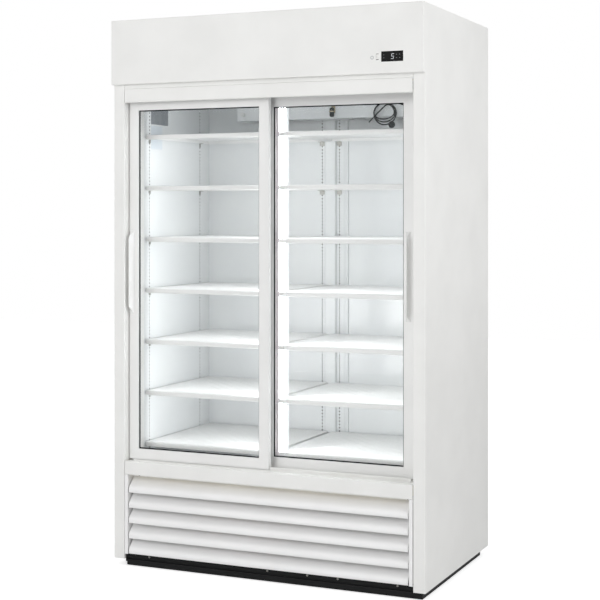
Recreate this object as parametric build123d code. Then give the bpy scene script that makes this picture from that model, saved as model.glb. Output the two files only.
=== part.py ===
from build123d import *
import math
import os

# Two section refrigerator cabinet with sliding glass doors.
# Millimetres. +Z up, front faces -Y, origin on the floor at the centre of the footprint.

# Cabinet
BODY_W = 1197.0
BODY_TOP = 1985.0
BODY_D = 735.0
SPACER = 6.0
HEADER_W = BODY_W + 3.0
HEADER_OUT = 18.0
SKIN_Z = 26.0
SHEET = 1.2
BEND_R = 2.5
FRONT_Y = HEADER_OUT - (HEADER_OUT + BODY_D + SPACER) / 2
SKIN_X = BODY_W / 2 - SHEET

# Front opening
STILE_W = 43.0
JAMB_X = BODY_W / 2 - STILE_W
REAR_JAMB_X = JAMB_X - 22.0
JAMB_STEP_D = 62.0
RAIL_X = JAMB_X - 1.5
SILL_BOTTOM = 334.0
SILL_TOP = 382.0
COVER_BOTTOM = 1687.0
COVER_TOP = 1736.0
HEADER_BOTTOM = 1751.7
LINER_FRONT_D = 105.0

# Interior
WALL_X = REAR_JAMB_X + 3.5
BACK_D = BODY_D - 107.0
FLOOR_Z = 401.0
CEILING_Z = 1726.0
LINER_T = 1.0
POST_D = 150.0
POST_HALF = 24.0
REAR_POST_D = BACK_D - 80.0

# Doors
DOOR_MEMBER = 38.0
DOOR_T = 21.0
DOOR_BOTTOM = 387.0
DOOR_TOP = 1698.0
FRONT_DOOR_D = 32.0
REAR_DOOR_D = 76.0
DOOR_W = JAMB_X + 8.5
FRONT_DOOR_X0 = 2.0 - JAMB_X
REAR_DOOR_X0 = REAR_JAMB_X - 0.7 - DOOR_W
GLASS_SET = 9.5
GLASS_T = 5.0
GLASS_GROOVE = 9.0
GASKET_W = 4.0
FIT = 0.2
MITRE_GAP = 0.2

# Handles
HANDLE_LEN = 305.0
HANDLE_W = 20.5
HANDLE_OUT = 22.0
HANDLE_APEX = 11.0
HANDLE_MITRE = 26.6
HANDLE_Z = 1070.0
HANDLE_DISH = 3.6

# Door rollers and tracks
WHEEL_R = 9.0
WHEEL_W = 6.5
WHEEL_INNER = 4.9
AXLE_R = 2.5
AXLE_FIT = 0.05
RUN_GAP = 0.35
LIP_Z = 1703.0
LIP_T = 2.0
SLOT_HALF = 4.4
CHANNEL_HALF = 13.0
TRACK_WALL = 2.0
TRACK_ROOF = 1724.0
STEM_T = 3.0
STEM_W = 26.0
ROLLER_INSET = 70.0
GUIDE_T = 3.0
GUIDE_SLOT = 6.0
GUIDE_TOP = 395.0

# Shelves
SHELF_COUNT = 7
SHELF_FIRST_Z = 429.0
SHELF_PITCH = 189.5
SHELF_BAR_H = 17.0
SHELF_BAR_D = 11.0
SHELF_FRONT_D = 110.0
SHELF_BACK_D = BACK_D - 16.0
SHELF_INNER_X = 8.0
SHELF_OUTER_X = WALL_X - 4.0
SHELF_FLANGE = 12.0
SHELF_CORNER = 9.0

# Grille
BLADE_COUNT = 5
BLADE_PITCH = 55.6
BLADE_LOW_Z = 45.0
BLADE_X = JAMB_X - 14.5
BLADE_END_GAP = 4.0
BLADE_T = 1.2
BLADE_BACK_D = 38.0
KNEE_R = 24.0
CURL_R = 2.5

# Base
BASE_X = BODY_W / 2 - 14.5
BASE_LEFT_END = -552.0
BASE_FRONT_D = 14.0
BASE_BACK_D = BODY_D - 59.0
BASE_LOW = 2.0
BASE_HIGH = 45.0
BASE_STEP_Z = 23.0
BASE_STEP_D = 9.0
RAIL_FLANGE = 44.0
RAIL_T = 3.0
DECK_T = 1.5
DECK_TOP = BASE_HIGH + DECK_T
FOOT_INSET = 24.0
MACHINE_TOP = 344.0
FOAM_TOP = 1800.0
FOAM_JOINT = 0.1

# Probe lead
LEAD_D = 5.0
COIL_X = 270.0
COIL_Z = 1659.0
COIL_R = 48.0
COVER_FRONT_D = BACK_D - 118.0
COIL_D = COVER_FRONT_D - 14.0


def y_at(depth):
    return FRONT_Y + depth


def block(x0, x1, d0, d1, z0, z1):
    size = (x1 - x0, d1 - d0, z1 - z0)
    return Pos((x0 + x1) / 2, y_at((d0 + d1) / 2), (z0 + z1) / 2) * Box(*size)


def thick(path, t):
    return make_face(offset(path, t, side=Side.LEFT, kind=Kind.INTERSECTION).edges())


def side_profile(points, t, radius=0.0):
    # A bent sheet seen from the side: points are depth and height, the sheet lies to the left.
    pts = [(y_at(d), z) for d, z in points]
    path = FilletPolyline(*pts, radius=radius) if radius else Polyline(*pts)
    return thick(Wire(path.edges()), t)


def run_x(face, x0, x1):
    return Plane((x0, 0, 0), x_dir=(0, 1, 0), z_dir=(1, 0, 0)) * extrude(face, x1 - x0)


def plan_profile(points, t, radius=0.0):
    # A bent sheet seen from above: points are width and depth, the sheet lies to the left.
    pts = [(x, y_at(d)) for x, d in points]
    path = FilletPolyline(*pts, radius=radius) if radius else Polyline(*pts)
    return thick(Wire(path.edges()), t)


def run_z(face, z0, z1):
    return Pos(0, 0, z0) * extrude(face, z1 - z0)


def rod_y(x, d, z, r, length):
    return Pos(x, y_at(d + length / 2), z) * Rot(90, 0, 0) * Cylinder(r, length)


def rod_z(x, d, z, r, length):
    return Pos(x, y_at(d), z + length / 2) * Cylinder(r, length)


# Outer skin
def side_panel(side):
    # One sheet: hem, front stile, side, rear return.
    w = BODY_W / 2
    pts = [(JAMB_X, 12), (JAMB_X, 0), (w, 0), (w, BODY_D), (w - 26, BODY_D)]
    face = plan_profile(pts, SHEET, BEND_R)
    panel = run_z(face, SKIN_Z, BODY_TOP)
    return panel if side > 0 else mirror(panel, Plane.YZ)


def top_panel():
    pts = [(2.0, BODY_TOP - 24), (2.0, BODY_TOP), (BODY_D - 3.5, BODY_TOP), (BODY_D - 3.5, BODY_TOP - 24)]
    panel = run_x(side_profile(list(reversed(pts)), SHEET, BEND_R), 0.9 - SKIN_X, SKIN_X - 0.9)
    for side in (-1, 1):
        x = side * (JAMB_X + SHEET / 2)
        panel -= block(x - SHEET, x + SHEET, 0, 12.5, BODY_TOP - 30, BODY_TOP + 1)
    return panel


def back_panel():
    # Sheet with two pressed ribs that keep the cabinet off a wall, and air slots low down.
    x = SKIN_X - 2.0
    rib = 18.0
    rib_x = 380.0
    back = BODY_D - SHEET - 0.05
    out = BODY_D + SPACER
    pts = [(x, back), (rib_x + rib, back), (rib_x + rib - 5, out), (rib_x - rib + 5, out),
           (rib_x - rib, back), (-rib_x + rib, back), (-rib_x + rib - 5, out),
           (-rib_x - rib + 5, out), (-rib_x - rib, back), (-x, back)]
    face = plan_profile(pts, SHEET)
    sheet = run_z(face, DECK_TOP + 1.5, BODY_TOP - 26)
    slot = extrude(SlotOverall(220, 9), 30, both=True)
    slots = [Pos(0, y_at(back), 90 + 26 * i) * Rot(90, 0, 0) * slot for i in range(8)]
    return sheet - slots


def insulation_core():
    # Rigid foam boards between the skin and the lining, and in the posts beside the doors.
    x = SKIN_X - 0.8
    front = 13.5
    back = BODY_D - 2 * SHEET - 0.1
    mouth = LINER_FRONT_D - 2.0
    inner_x = WALL_X + LINER_T
    inner_d = BACK_D + LINER_T
    floor = FLOOR_Z - LINER_T
    ceiling = CEILING_Z + LINER_T
    sill = SILL_TOP - SHEET - 0.3
    lintel_d = 40.2
    boards = [
        block(-x, x, inner_d, back, MACHINE_TOP, FOAM_TOP),
        block(-x, x, LINER_FRONT_D, inner_d - FOAM_JOINT, MACHINE_TOP, floor),
        block(-x, x, LINER_FRONT_D, inner_d - FOAM_JOINT, ceiling, FOAM_TOP),
        block(-x, x, front, mouth, MACHINE_TOP, sill),
        block(-x, x, lintel_d, mouth, COVER_TOP + 0.2, FOAM_TOP),
    ]
    for side in (-1, 1):
        wall = block(inner_x, x, LINER_FRONT_D, inner_d - FOAM_JOINT, floor + FOAM_JOINT, ceiling - FOAM_JOINT)
        post = block(JAMB_X + SHEET + FIT, x, front, mouth, sill + FOAM_JOINT, COVER_TOP)
        step = block(REAR_JAMB_X + SHEET + FIT, JAMB_X + SHEET, JAMB_STEP_D + SHEET + FIT, mouth,
                     SILL_TOP + 0.1, LIP_Z - LIP_T - 0.2)
        boards += [board if side > 0 else mirror(board, Plane.YZ) for board in (wall, post, step)]
    return Compound(children=boards)


def inner_liner():
    # Deep tray with rounded inner edges and a flange round its mouth.
    outer_w = 2 * (WALL_X + LINER_T)
    outer_h = CEILING_Z - FLOOR_Z + 2 * LINER_T
    mid_z = (CEILING_Z + FLOOR_Z) / 2
    start = y_at(LINER_FRONT_D)
    depth = BACK_D + LINER_T - LINER_FRONT_D
    mouth = Plane((0, start, mid_z), x_dir=(1, 0, 0), z_dir=(0, 1, 0))
    tray = extrude(mouth * RectangleRounded(outer_w, outer_h, 8), depth)
    tray = offset(tray, -LINER_T, openings=tray.faces().sort_by(Axis.Y)[0])
    flange_low = SILL_TOP + 0.3
    flange_high = CEILING_Z + 10
    flange = block(-WALL_X - 16, WALL_X + 16, LINER_FRONT_D - LINER_T, LINER_FRONT_D, flange_low, flange_high)
    hole = extrude(mouth * RectangleRounded(2 * WALL_X, CEILING_Z - FLOOR_Z, 7), 4, both=True)
    return tray + (flange - hole)


def jamb(side):
    pts = [(REAR_JAMB_X, LINER_FRONT_D - 1.1), (REAR_JAMB_X, JAMB_STEP_D), (JAMB_X, JAMB_STEP_D), (JAMB_X, 12.3)]
    face = plan_profile(pts, SHEET, 1.5)
    strip = run_z(face, SILL_TOP + 0.1, LIP_Z - LIP_T - 0.2)
    return strip if side > 0 else mirror(strip, Plane.YZ)


# Front rails, header and controls
def upper_front_rail():
    low = COVER_TOP + 0.05
    pts = [(40, low), (1, low), (1, BODY_TOP - 27)]
    return run_x(side_profile(list(reversed(pts)), SHEET, BEND_R), -JAMB_X + 0.3, JAMB_X - 0.3)


def track_cover():
    # Flat face with a rolled lower edge.
    top = y_at(0)
    flange = Line((top + 14, COVER_TOP), (top + 2, COVER_TOP))
    bend = RadiusArc((top + 2, COVER_TOP), (top, COVER_TOP - 2), -2)
    face_line = Line((top, COVER_TOP - 2), (top, COVER_BOTTOM + 4))
    roll = RadiusArc((top, COVER_BOTTOM + 4), (top + 8, COVER_BOTTOM + 4), -4)
    tail = Line((top + 8, COVER_BOTTOM + 4), (top + 8, COVER_BOTTOM + 8))
    face = thick(Wire([flange, bend, face_line, roll, tail]), SHEET)
    return run_x(face, -RAIL_X, RAIL_X)


def sill_rail():
    pts = [(12, SILL_BOTTOM), (0, SILL_BOTTOM), (0, SILL_TOP), (LINER_FRONT_D - 2.2, SILL_TOP)]
    return run_x(side_profile(list(reversed(pts)), SHEET, BEND_R), -RAIL_X, RAIL_X)


LENS_X = 488.4
LENS_Z = 1808.0
LENS_W = 78.2
LENS_H = 35.0
SWITCH_X = 435.5
SWITCH_Z = 1808.0
SWITCH_W = 9.0
SWITCH_H = 20.0
SWITCH_PIVOT_D = -11.0
SWITCH_HUB_R = 5.6


def header_panel():
    # Shallow pressed pan with soft front edges, open at the back.
    height = BODY_TOP - HEADER_BOTTOM
    mid = (BODY_TOP + HEADER_BOTTOM) / 2
    pan = Pos(0, y_at(-HEADER_OUT / 2), mid) * Box(HEADER_W, HEADER_OUT, height)
    front_edges = pan.edges().group_by(Axis.Y)[0]
    pan = fillet(front_edges, 2.4)
    pan = offset(pan, -SHEET, openings=pan.faces().sort_by(Axis.Y)[-1])
    back_lip = block(-HEADER_W / 2, HEADER_W / 2, -SHEET, 0, HEADER_BOTTOM, BODY_TOP)
    back_lip -= block(-JAMB_X, JAMB_X, -3, 3, HEADER_BOTTOM + 14, BODY_TOP - 14)
    pan += back_lip
    pan -= block(LENS_X - LENS_W / 2, LENS_X + LENS_W / 2, -30, -10, LENS_Z - LENS_H / 2, LENS_Z + LENS_H / 2)
    pan -= block(SWITCH_X - SWITCH_W / 2 - 0.4, SWITCH_X + SWITCH_W / 2 + 0.4, -30, -10,
                 SWITCH_Z - SWITCH_H / 2 - 0.5, SWITCH_Z + SWITCH_H / 2 + 0.5)
    return pan


def display_lens():
    lens = block(LENS_X - LENS_W / 2 + FIT, LENS_X + LENS_W / 2 - FIT, -HEADER_OUT + 0.2, -HEADER_OUT + 2.4,
                 LENS_Z - LENS_H / 2 + FIT, LENS_Z + LENS_H / 2 - FIT)
    lens = fillet(lens.edges().filter_by(Axis.Y), 1.8)
    return chamfer(lens.faces().sort_by(Axis.Y)[0].edges(), 0.5)


def controller_body():
    # Housing behind the lens, with a stepped back and clip ears, through the rail behind the header.
    case = block(LENS_X - 35.5, LENS_X + 35.5, -HEADER_OUT + 2.4, 0.8, LENS_Z - 14.5, LENS_Z + 14.5)
    case += block(LENS_X + 34, LENS_X + LENS_W / 2 + 4, -HEADER_OUT + 2.6, -HEADER_OUT + 8, LENS_Z - 8, LENS_Z + 8)
    case += block(LENS_X - LENS_W / 2 - 4, LENS_X - 34, -HEADER_OUT + 2.6, -HEADER_OUT + 8, LENS_Z - 8, LENS_Z + 8)
    vents = [block(LENS_X - 30 + 9 * i, LENS_X - 26 + 9 * i, -8, -4, LENS_Z + 12.5, LENS_Z + 16) for i in range(7)]
    return case - vents


def light_switch():
    # Rocker: a round back on its pivot, with a front that slopes both ways.
    y = y_at(SWITCH_PIVOT_D)
    half = SWITCH_H / 2
    tip = [(y - 6.4, SWITCH_Z + half - 1.0), (y - 5.2, SWITCH_Z), (y - 6.9, SWITCH_Z - half + 1.6),
           (y, SWITCH_Z - SWITCH_HUB_R), (y, SWITCH_Z + SWITCH_HUB_R)]
    section = make_face(Polyline(*tip, close=True)) + Pos(y, SWITCH_Z) * Circle(SWITCH_HUB_R)
    return run_x(section, SWITCH_X - SWITCH_W / 2, SWITCH_X + SWITCH_W / 2)


def switch_housing():
    # Box behind the header that holds the rocker's round back.
    half_w = SWITCH_W / 2 + 0.4
    half_h = SWITCH_H / 2 + 0.6
    front = -HEADER_OUT + SHEET + FIT
    case = block(SWITCH_X - half_w - 1.5, SWITCH_X + half_w + 1.5, front, -1, SWITCH_Z - half_h - 1.5, SWITCH_Z + half_h + 1.5)
    case -= block(SWITCH_X - half_w, SWITCH_X + half_w, front - 1, SWITCH_PIVOT_D + SWITCH_HUB_R + 0.6, SWITCH_Z - half_h, SWITCH_Z + half_h)
    return case


# Door tracks
def top_track():
    # Extrusion with two channels whose lips carry the rollers.
    mids = (FRONT_DOOR_D + DOOR_T / 2, REAR_DOOR_D + DOOR_T / 2)
    low = LIP_Z - LIP_T
    high = TRACK_ROOF + TRACK_WALL
    d0 = mids[0] - CHANNEL_HALF - TRACK_WALL
    d1 = mids[1] + CHANNEL_HALF + TRACK_WALL - 0.6
    section = Pos(y_at((d0 + d1) / 2), (low + high) / 2) * Rectangle(d1 - d0, high - low)
    for mid in mids:
        section -= Pos(y_at(mid), (LIP_Z + TRACK_ROOF) / 2) * Rectangle(2 * CHANNEL_HALF - 0.8, TRACK_ROOF - LIP_Z)
        section -= Pos(y_at(mid), low) * Rectangle(2 * SLOT_HALF, 4 * LIP_T)
    middle = mids[1] - mids[0] - 2 * CHANNEL_HALF - 2 * TRACK_WALL
    section -= Pos(y_at((mids[0] + mids[1]) / 2), (low + high) / 2) * Rectangle(middle, high - low - 2 * TRACK_WALL)
    return run_x(section, -RAIL_X - 1, RAIL_X + 1)


def bottom_track():
    # Base strip with a front lip and one guide rib under each door.
    d0 = FRONT_DOOR_D - 4.5
    d1 = LINER_FRONT_D - 2.5
    section = Pos(y_at((d0 + d1) / 2), SILL_TOP + 0.75) * Rectangle(d1 - d0, 1.5)
    section += Pos(y_at(d0 + 0.75), SILL_TOP + 2.3) * Rectangle(1.5, 4.6)
    section += Pos(y_at(d1 - 0.75), SILL_TOP + 2.3) * Rectangle(1.5, 4.6)
    for mid in (FRONT_DOOR_D + DOOR_T / 2, REAR_DOOR_D + DOOR_T / 2):
        rib = Pos(y_at(mid), (SILL_TOP + GUIDE_TOP) / 2) * Rectangle(GUIDE_T, GUIDE_TOP - SILL_TOP)
        section += fillet(rib.vertices().group_by(Axis.Y)[-1], 1.2)
    return run_x(section, -REAR_JAMB_X + 0.2, REAR_JAMB_X - 0.2)


# Sliding doors
def door_frame(x0, width, d0):
    # Four members of one section, mitred at the corners, with a glass groove and a guide slot below.
    height = DOOR_TOP - DOOR_BOTTOM
    centre = Pos(x0 + width / 2, y_at(d0 + DOOR_T / 2), (DOOR_TOP + DOOR_BOTTOM) / 2)
    frame = Box(width, DOOR_T, height)
    frame -= Box(width - 2 * DOOR_MEMBER, DOOR_T + 2, height - 2 * DOOR_MEMBER)
    long_edges = frame.edges().filter_by(GeomType.LINE)
    rim = [e for e in long_edges if abs(abs(e.center().Y) - DOOR_T / 2) < 0.01]
    frame = fillet(rim, 1.2)
    groove_d = GLASS_SET + GLASS_T / 2 - DOOR_T / 2
    groove = Box(width - 2 * (DOOR_MEMBER - GLASS_GROOVE), GLASS_T + 0.4, height - 2 * (DOOR_MEMBER - GLASS_GROOVE))
    frame -= Pos(0, groove_d, 0) * groove
    slot_h = GUIDE_TOP - DOOR_BOTTOM + 2.5
    frame -= Pos(0, 0, -height / 2 + slot_h / 2) * Box(width + 2, GUIDE_SLOT, slot_h)
    for sx in (-1, 1):
        for sz in (-1, 1):
            corner = (sx * (width / 2 - DOOR_MEMBER / 2), 0, sz * (height / 2 - DOOR_MEMBER / 2))
            frame -= Pos(*corner) * Rot(0, -sx * sz * 45, 0) * Box(2 * DOOR_MEMBER, DOOR_T + 2, MITRE_GAP)
    return centre * frame


def door_glass(x0, width, d0):
    w = width - 2 * (DOOR_MEMBER - GLASS_GROOVE + FIT)
    h = DOOR_TOP - DOOR_BOTTOM - 2 * (DOOR_MEMBER - GLASS_GROOVE + FIT)
    pane = Box(w, GLASS_T, h)
    d = d0 + GLASS_SET + GLASS_T / 2
    return Pos(x0 + width / 2, y_at(d), (DOOR_TOP + DOOR_BOTTOM) / 2) * pane


def door_gasket(x0, width, d0):
    # Rubber bead in the corner between glass and frame, in front of the pane.
    height = DOOR_TOP - DOOR_BOTTOM
    ow = width - 2 * DOOR_MEMBER
    oh = height - 2 * DOOR_MEMBER
    deep = 3.2
    bead = Box(ow, deep, oh) - Box(ow - 2 * GASKET_W, deep + 2, oh - 2 * GASKET_W)
    inner = [e for e in bead.edges().group_by(Axis.Y)[0] if abs(e.center().X) < ow / 2 - 1 and abs(e.center().Z) < oh / 2 - 1]
    bead = chamfer(inner, 1.6)
    d = d0 + GLASS_SET - deep / 2
    return Pos(x0 + width / 2, y_at(d), (DOOR_TOP + DOOR_BOTTOM) / 2) * bead


def door_handle(x_outer, towards, d0):
    # Wedge pull: plain slope inside, dished finger groove outside, both ends mitred.
    base_in = x_outer + towards * HANDLE_W
    apex = base_in - towards * HANDLE_APEX
    y_base = y_at(d0)
    y_apex = y_at(d0 - HANDLE_OUT)
    low = HANDLE_Z - HANDLE_LEN / 2
    outer = Line((x_outer, y_base), (base_in, y_base))
    slope = Line((base_in, y_base), (apex + towards * 0.8, y_apex))
    tip = Line((apex + towards * 0.8, y_apex), (apex - towards * 0.8, y_apex))
    mid_x = (apex + x_outer) / 2
    mid_y = (y_base + y_apex) / 2
    dish = (mid_x + towards * HANDLE_DISH, mid_y + 0.35 * HANDLE_DISH)
    groove = ThreePointArc((apex - towards * 0.8, y_apex), dish, (x_outer, y_base))
    section = make_face([outer, slope, tip, groove])
    bar = run_z(section, low, low + HANDLE_LEN)
    if bar.volume < 0:
        bar = -bar
    side = make_face(Polyline((y_base, low), (y_apex, low + HANDLE_MITRE), (y_apex, low + HANDLE_LEN - HANDLE_MITRE),
                              (y_base, low + HANDLE_LEN), close=True))
    return bar & run_x(side, min(x_outer, base_in) - 1, max(x_outer, base_in) + 1)


def roller_spots(x0, width):
    return (x0 + ROLLER_INSET, x0 + width - ROLLER_INSET)


WHEEL_Z = LIP_Z + RUN_GAP + WHEEL_R


def hangers(x0, width, d0):
    # Stem plates with a foot screwed on top of the door.
    mid = d0 + DOOR_T / 2
    parts = []
    for x in roller_spots(x0, width):
        stem = block(x - STEM_W / 2, x + STEM_W / 2, mid - STEM_T / 2, mid + STEM_T / 2, DOOR_TOP, WHEEL_Z + 6)
        stem = fillet(stem.edges().filter_by(Axis.Y).group_by(Axis.Z)[-1], 5)
        foot = block(x - STEM_W / 2 - 14, x + STEM_W / 2 + 14, mid - 4, mid + 4, DOOR_TOP, DOOR_TOP + 1.6)
        foot = fillet(foot.edges().filter_by(Axis.Z), 2)
        hole = rod_y(x, mid - 5, WHEEL_Z, AXLE_R + AXLE_FIT, 10)
        parts.append(stem + foot - hole)
    return Compound(children=parts)


def roller(x, d0):
    # Two crowned wheels on one axle.
    mid = d0 + DOOR_T / 2
    half = WHEEL_INNER + WHEEL_W
    profile = Polyline((0, -half), (WHEEL_R - 1, -half), (WHEEL_R, -half + 1), (WHEEL_R, -WHEEL_INNER), (AXLE_R, -WHEEL_INNER),
                       (AXLE_R, WHEEL_INNER), (WHEEL_R, WHEEL_INNER), (WHEEL_R, half - 1), (WHEEL_R - 1, half), (0, half), close=True)
    wheel = revolve(make_face(profile), Axis.Y)
    return Pos(x, y_at(mid), WHEEL_Z) * wheel


def right_door_seal():
    # Upright strip on the front of the rear door's meeting stile, with a thin brush edge.
    x = REAR_DOOR_X0 + 13
    back = REAR_DOOR_D
    reach = REAR_DOOR_D - FRONT_DOOR_D - DOOR_T - 1.0
    holder = [(x - 5, y_at(back)), (x + 5, y_at(back)), (x + 4, y_at(back - 5)), (x + 1.2, y_at(back - 5)),
              (x + 0.8, y_at(back - reach)), (x - 0.8, y_at(back - reach)), (x - 1.2, y_at(back - 5)), (x - 4, y_at(back - 5))]
    return run_z(make_face(Polyline(*holder, close=True)), DOOR_BOTTOM + 12, DOOR_TOP - 14)


# Interior
def centre_post():
    pts = [(-POST_HALF, POST_D + 22), (-POST_HALF, POST_D), (POST_HALF, POST_D), (POST_HALF, POST_D + 22)]
    return run_z(plan_profile(pts, SHEET, 1.5), FLOOR_Z + 0.2, CEILING_Z - 0.2)


LAMP_X0 = -1.0
LAMP_X1 = 16.0
LAMP_D = 101.5
LAMP_T = 7.9


def led_strip():
    # Slim lamp housing from floor to ceiling in front of the post, held off it by three arms.
    x = (LAMP_X0 + LAMP_X1) / 2
    housing = Pos(x, y_at(LAMP_D + LAMP_T / 2), 0) * RectangleRounded(LAMP_X1 - LAMP_X0, LAMP_T, 1.5)
    lamp = run_z(housing, FLOOR_Z + 0.3, CEILING_Z - 0.3)
    arm_half = 10.0
    for level in (0, 3, 6):
        z = shelf_levels()[level] + SHELF_PITCH / 2
        lamp += block(LAMP_X0 + 1, LAMP_X0 + 6, LAMP_D + LAMP_T - 1, POST_D - 0.1, z - arm_half, z + arm_half)
    return lamp


def rear_column():
    # Top hat strip on the back wall with a raised duct, and a slim wire cover beside it.
    base = 55.0
    rise = 14.0
    half = 23.0
    pts = [(-base, BACK_D - 0.2), (-half, BACK_D - 0.2), (-half + 3, BACK_D - rise), (half - 3, BACK_D - rise),
           (half, BACK_D - 0.2), (base, BACK_D - 0.2)]
    column = run_z(plan_profile(list(reversed(pts)), SHEET, 2.0), FLOOR_Z + 0.2, CEILING_Z - 0.2)
    wire_cover = block(base + 9, base + 17, BACK_D - 8, BACK_D - 0.1, FLOOR_Z + 0.2, CEILING_Z - 0.2)
    wire_cover = fillet(wire_cover.edges().filter_by(Axis.Z).group_by(Axis.Y)[0], 2)
    return Compound(children=[column, wire_cover])


def shelf(side, z):
    # Flat tray: rounded front bar, turned-down sides, turned-up back, notch round the centre post.
    top = z + SHELF_BAR_H / 2
    t = SHEET
    low = top - SHELF_FLANGE
    corner = SHELF_CORNER
    span = SHELF_OUTER_X - SHELF_INNER_X
    mid_x = (SHELF_OUTER_X + SHELF_INNER_X) / 2
    bar = Pos(mid_x, y_at(SHELF_FRONT_D + SHELF_BAR_D / 2), z) * Box(span, SHELF_BAR_D, SHELF_BAR_H)
    bar = fillet(bar.edges().filter_by(Axis.Z).group_by(Axis.Y)[0], corner)
    bar = fillet(bar.faces().sort_by(Axis.Z)[-1].edges().group_by(Axis.Y)[0], 3.5)
    plate = block(SHELF_INNER_X, SHELF_OUTER_X, SHELF_FRONT_D + SHELF_BAR_D - 1, SHELF_BACK_D, top - t, top)
    side_a = block(SHELF_INNER_X, SHELF_INNER_X + t, SHELF_FRONT_D + SHELF_BAR_D - 1, SHELF_BACK_D, low, top)
    side_b = block(SHELF_OUTER_X - t, SHELF_OUTER_X, SHELF_FRONT_D + SHELF_BAR_D - 1, SHELF_BACK_D, low, top)
    lip = block(SHELF_INNER_X, SHELF_OUTER_X, SHELF_BACK_D - t, SHELF_BACK_D, low, top)
    notch = block(0, POST_HALF + 12, POST_D - 26, POST_D + 25, low - 5, top + 5)
    tray = bar + plate + side_a + side_b + lip - notch
    return tray if side > 0 else mirror(tray, Plane.YZ)


def shelf_levels():
    return [SHELF_FIRST_Z + SHELF_PITCH * i for i in range(SHELF_COUNT)]


def bay_shelves(side):
    return Compound(children=[shelf(side, z) for z in shelf_levels()])


def shelf_clips():
    # Bent zinc tongues: an upright leg on the wall and a shelf under the tray's side.
    drop = 16.0
    clips = []
    for z in shelf_levels():
        top = z + SHELF_BAR_H / 2 - SHELF_FLANGE - 0.1
        leg = [(WALL_X - 0.1, top - drop), (WALL_X - 0.1, top), (WALL_X - 14, top)]
        face = make_face(offset(Polyline(*leg), 1.6, side=Side.LEFT, kind=Kind.INTERSECTION).edges())
        for side in (-1, 1):
            for d in (POST_D, REAR_POST_D):
                clip = Plane((0, y_at(d + 6), 0), x_dir=(1, 0, 0), z_dir=(0, -1, 0)) * extrude(face, 12)
                clips.append(clip if side > 0 else mirror(clip, Plane.YZ))
    for z in shelf_levels():
        top = z + SHELF_BAR_H / 2 - SHELF_FLANGE - 0.1
        for x in (-38.4, 34.2):
            pts = [(BACK_D - 2.0, top - drop), (BACK_D - 2.0, top), (BACK_D - 24, top)]
            face = side_profile(pts, 1.6)
            clips.append(run_x(face, x - 10, x + 10))
    return Compound(children=clips)


COVER_X = 350.0
COVER_Z = 1644.0
FAN_X = 150.0
FAN_D = BACK_D - 62.0
FAN_R = 42.0


def evaporator_cover():
    # Folded front and bottom with end cheeks, two fan openings and a hook for the probe lead.
    pts = [(COVER_FRONT_D, CEILING_Z - 0.3), (COVER_FRONT_D, COVER_Z), (BACK_D - 16, COVER_Z)]
    shell = run_x(side_profile(pts, SHEET, 5), -COVER_X, COVER_X)
    for x in (-COVER_X, COVER_X - SHEET):
        cheek = block(x, x + SHEET, COVER_FRONT_D + 5, BACK_D - 16, COVER_Z, CEILING_Z - 0.3)
        cheek += block(x, x + SHEET, COVER_FRONT_D + 0.2, COVER_FRONT_D + 6, COVER_Z + 5, CEILING_Z - 0.3)
        shell += cheek
    for x in (-FAN_X, FAN_X):
        shell -= rod_z(x, FAN_D, COVER_Z - 5, FAN_R + 3, 20)
        for angle in (0, 90):
            spoke = Pos(x, y_at(FAN_D), COVER_Z + SHEET / 2) * Rot(0, 0, angle) * Box(2 * FAN_R + 8, 3, SHEET)
            shell += spoke
        shell += rod_z(x, FAN_D, COVER_Z, 16, SHEET)
    hook = block(COIL_X + 6, COIL_X + 12, COVER_FRONT_D - 18.5, COVER_FRONT_D + 0.3, COIL_Z + 34.0, COIL_Z + 35.6)
    return shell + hook


def evaporator_coil():
    # Fin block with return bends at both ends.
    d0 = COVER_FRONT_D + 14
    d1 = BACK_D - 22
    fins = block(-290, 290, d0, d1, CEILING_Z - 38, CEILING_Z - 8)
    grooves = [block(-285 + 38 * i, -281 + 38 * i, d0 - 1, d0 + 6, CEILING_Z - 40, CEILING_Z - 6) for i in range(16)]
    coil = fins - grooves
    for d in (d0 + 22, d0 + 62):
        for side in (-1, 1):
            coil += block(side * 200 - 10, side * 200 + 10, d0 + 10, d1 - 10, CEILING_Z - 9, CEILING_Z - 0.05)
            bend = Plane((side * 290, y_at(d), CEILING_Z - 23), x_dir=(1, 0, 0), z_dir=(0, 0, 1)) * Torus(9, 4)
            coil += bend
    return coil


def fan(x, d, z, r, hub_r, height, blades, axis_y):
    # Hub with twisted blades lofted from root to tip.
    hub = Cylinder(hub_r, height)
    hub = fillet(hub.faces().sort_by(Axis.Z)[-1].edges(), hub_r * 0.25)
    blade_len = r - hub_r + 1.5
    root = Plane((hub_r - 1.5, 0, 0), x_dir=(0, 1, 0), z_dir=(1, 0, 0)) * Rot(0, 0, 40) * RectangleRounded(hub_r * 1.0, 2.2, 1.0)
    tip = Plane((hub_r - 1.5 + blade_len, 0, 0), x_dir=(0, 1, 0), z_dir=(1, 0, 0)) * Rot(0, 0, 24) * RectangleRounded(hub_r * 1.7, 1.6, 0.7)
    blade = loft([root, tip])
    wheel = hub + [Rot(0, 0, 360 / blades * i) * blade for i in range(blades)]
    turn = Rot(90, 0, 0) if axis_y else Rot(0, 0, 0)
    return Pos(x, y_at(d), z) * turn * wheel


def evaporator_fan_motors():
    parts = []
    for x in (-FAN_X, FAN_X):
        can = rod_z(x, FAN_D, COVER_Z + SHEET, 14, 5)
        can += rod_z(x, FAN_D, COVER_Z + SHEET, 2.0, 9)
        parts.append(can)
    return Compound(children=parts)


def evaporator_fan(x):
    wheel = fan(x, FAN_D, COVER_Z + 14.4, FAN_R, 13, 14, 5, False)
    return wheel - rod_z(x, FAN_D, COVER_Z, 2.0 + AXLE_FIT, 11)


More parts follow.
